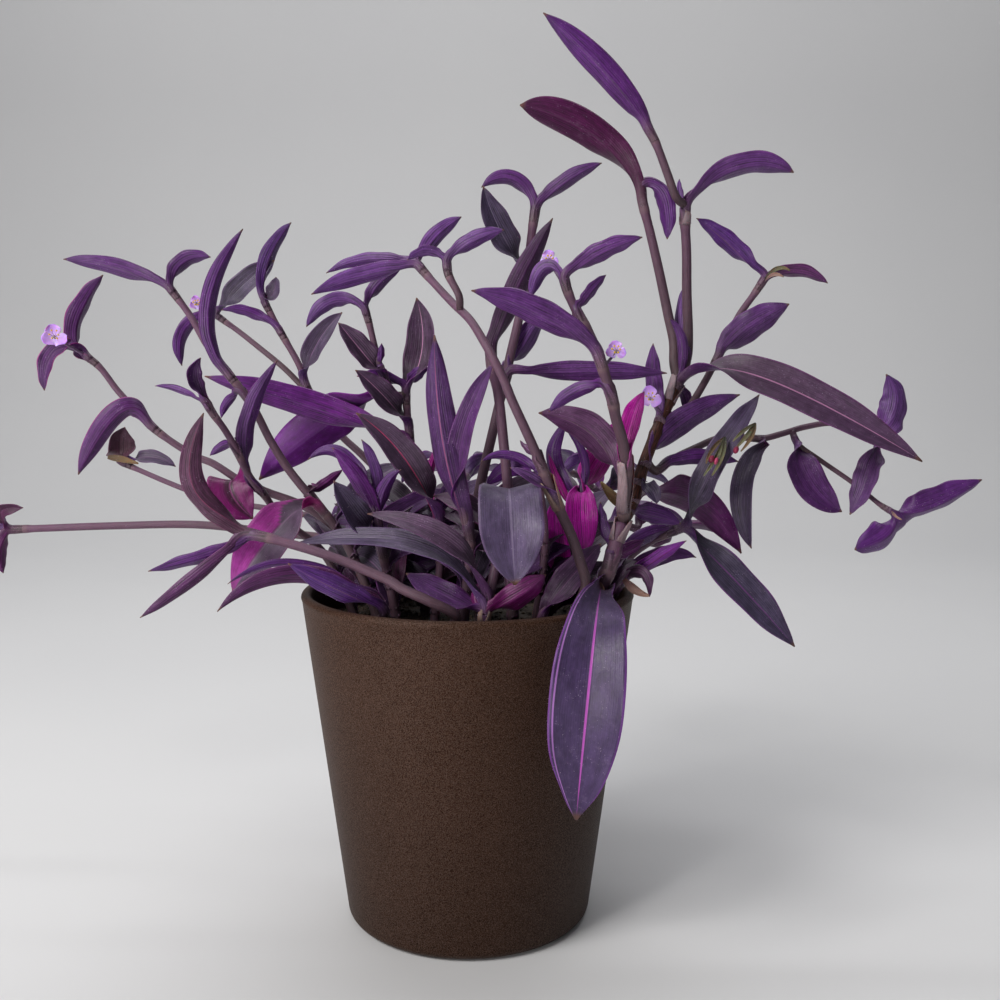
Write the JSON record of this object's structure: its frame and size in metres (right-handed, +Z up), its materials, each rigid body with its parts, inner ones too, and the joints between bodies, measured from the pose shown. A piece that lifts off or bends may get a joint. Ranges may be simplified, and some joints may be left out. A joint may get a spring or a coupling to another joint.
{
  "type": "potted tradescantia",
  "caption": "Tapered round pot of soil with branching leafy stems, long keeled lance-shaped leaves, a hanging clasping leaf over the rim and small three-petalled blooms.",
  "frame": {"origin": "centre of the pot's flat underside, on the surface it stands on", "axes": "+Z up along the pot's axis, -Y towards the viewer of the picture, +X to that viewer's right"},
  "size_m": [0.571, 0.3042, 0.4411],
  "materials": {
    "pot": "matte",
    "soil": "matte",
    "leafy_stem": "satin",
    "bloom": "satin"
  },
  "bodies": {
    "root": {"pot": "pot", "soil": "soil", "stem_right_main": "leafy_stem", "stem_center": "leafy_stem", "stem_shield_leaf": "leafy_stem", "stem_grey_blade": "leafy_stem", "stem_heart": "leafy_stem", "stem_mauve": "leafy_stem", "stem_front": "leafy_stem", "stem_front_right": "leafy_stem", "stem_front_left": "leafy_stem", "stem_over_rim": "leafy_stem", "stem_violet_blade": "leafy_stem", "stem_red_rib": "leafy_stem", "stem_left_heart": "leafy_stem", "stem_middle_left": "leafy_stem", "stem_left_grey": "leafy_stem", "stem_left_tall": "leafy_stem", "stem_left_long": "leafy_stem", "stem_left_slender": "leafy_stem", "stem_left_spent": "leafy_stem", "stem_left_trailing": "leafy_stem", "stem_right_low": "leafy_stem", "stem_right_rim": "leafy_stem", "stem_back_1": "leafy_stem", "stem_back_2": "leafy_stem", "stem_back_3": "leafy_stem", "stem_back_4": "leafy_stem", "stem_back_5": "leafy_stem", "bloom_left_long": "bloom", "bloom_left_grey": "bloom", "bloom_right_main": "bloom", "bloom_center_top": "bloom", "bloom_center_low": "bloom"}
  },
  "joints": []
}
